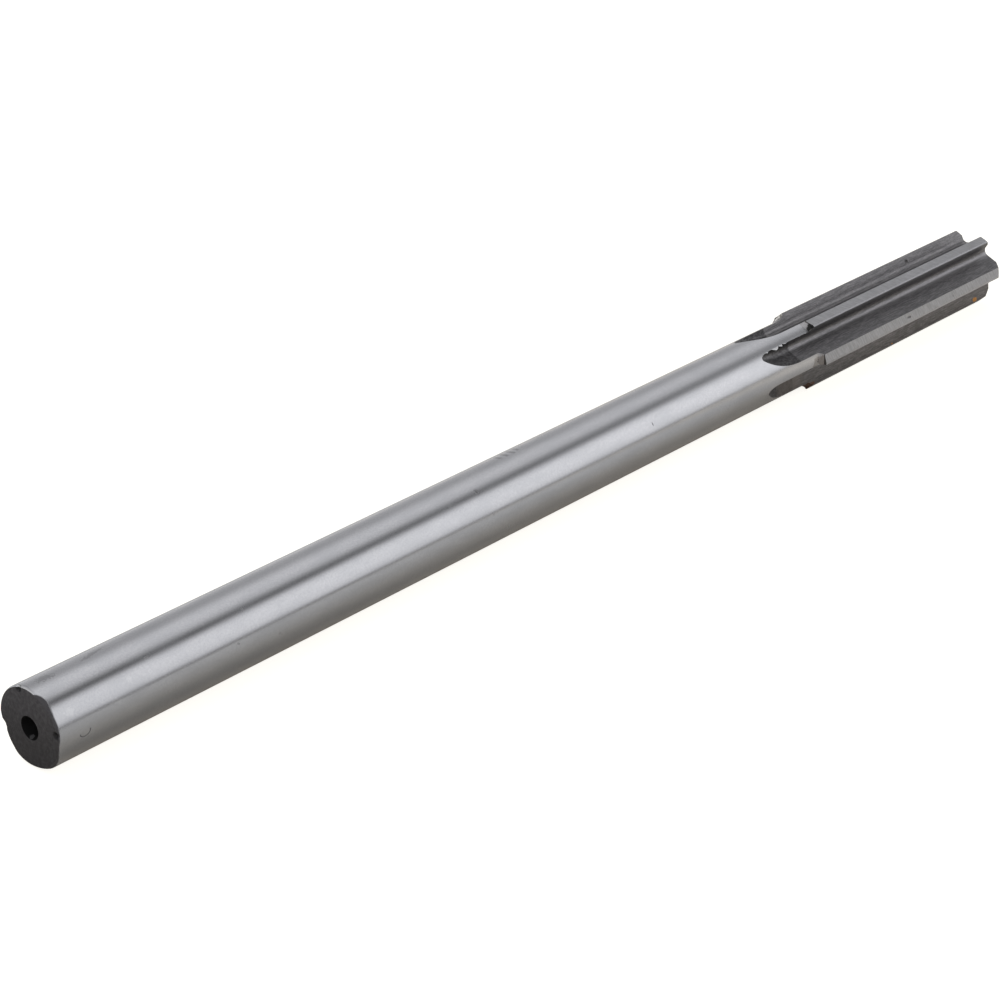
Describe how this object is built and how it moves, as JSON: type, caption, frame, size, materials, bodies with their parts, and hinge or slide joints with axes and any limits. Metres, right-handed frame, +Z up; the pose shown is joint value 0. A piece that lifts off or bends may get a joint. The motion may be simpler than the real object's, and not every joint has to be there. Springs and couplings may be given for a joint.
{
  "type": "machine reamer",
  "caption": "Straight-shank machine reamer with straight flutes, a 45 degree lead and centre holes, for sizing drilled holes, lying at rest.",
  "frame": {"origin": "on the floor under the middle of the tool as it lies", "axes": "+X runs from the shank end towards the cutting head, +Y is across, +Z is up; the tool's axis rises 0.107 degrees towards the head"},
  "size_m": [0.178, 0.011, 0.0101],
  "materials": {
    "ground_steel": "ground bright on shank and lands, dark oxide in the flutes and on the ends"
  },
  "bodies": {
    "root": {"reamer": "ground_steel"}
  },
  "joints": []
}
